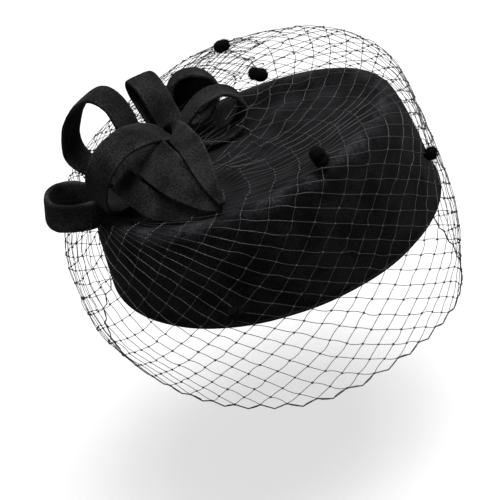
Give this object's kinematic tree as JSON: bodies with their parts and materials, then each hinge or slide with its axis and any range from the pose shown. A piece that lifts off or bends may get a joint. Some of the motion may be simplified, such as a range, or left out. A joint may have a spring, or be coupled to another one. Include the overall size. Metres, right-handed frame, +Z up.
{
  "type": "pillbox hat",
  "caption": "Oval pillbox hat in blocked felt with a sunken tip, a looped felt bow on one side and a dotted cage veil over the crown and face",
  "frame": {"origin": "middle of the head opening, in the plane of the crown's rim", "axes": "+Z up along the crown, -Y the front where the veil hangs lowest, +X the side away from the bow, along the crown's long axis"},
  "size_m": [0.206, 0.2113, 0.1446],
  "materials": {
    "crown_felt": "black blocked wool felt, matt with a fine short nap",
    "bow_felt": "black wool felt strip, matt, with a fine grain",
    "veil_net": "black knotted nylon millinery net, the veil's outer form here",
    "dot_chenille": "black chenille dot, deep soft pile"
  },
  "bodies": {
    "root": {"crown": "crown_felt", "veil": "veil_net", "loop_left": "bow_felt", "loop_back_left": "bow_felt", "loop_top": "bow_felt", "loop_back": "bow_felt", "loop_right": "bow_felt", "loop_front": "bow_felt", "leaf_upper": "bow_felt", "leaf_middle": "bow_felt", "leaf_lower": "bow_felt", "bow_heart": "bow_felt", "dot_front_low": "dot_chenille", "dot_front_lip": "dot_chenille", "dot_right": "dot_chenille", "dot_back": "dot_chenille", "dot_back_high": "dot_chenille"}
  },
  "joints": []
}
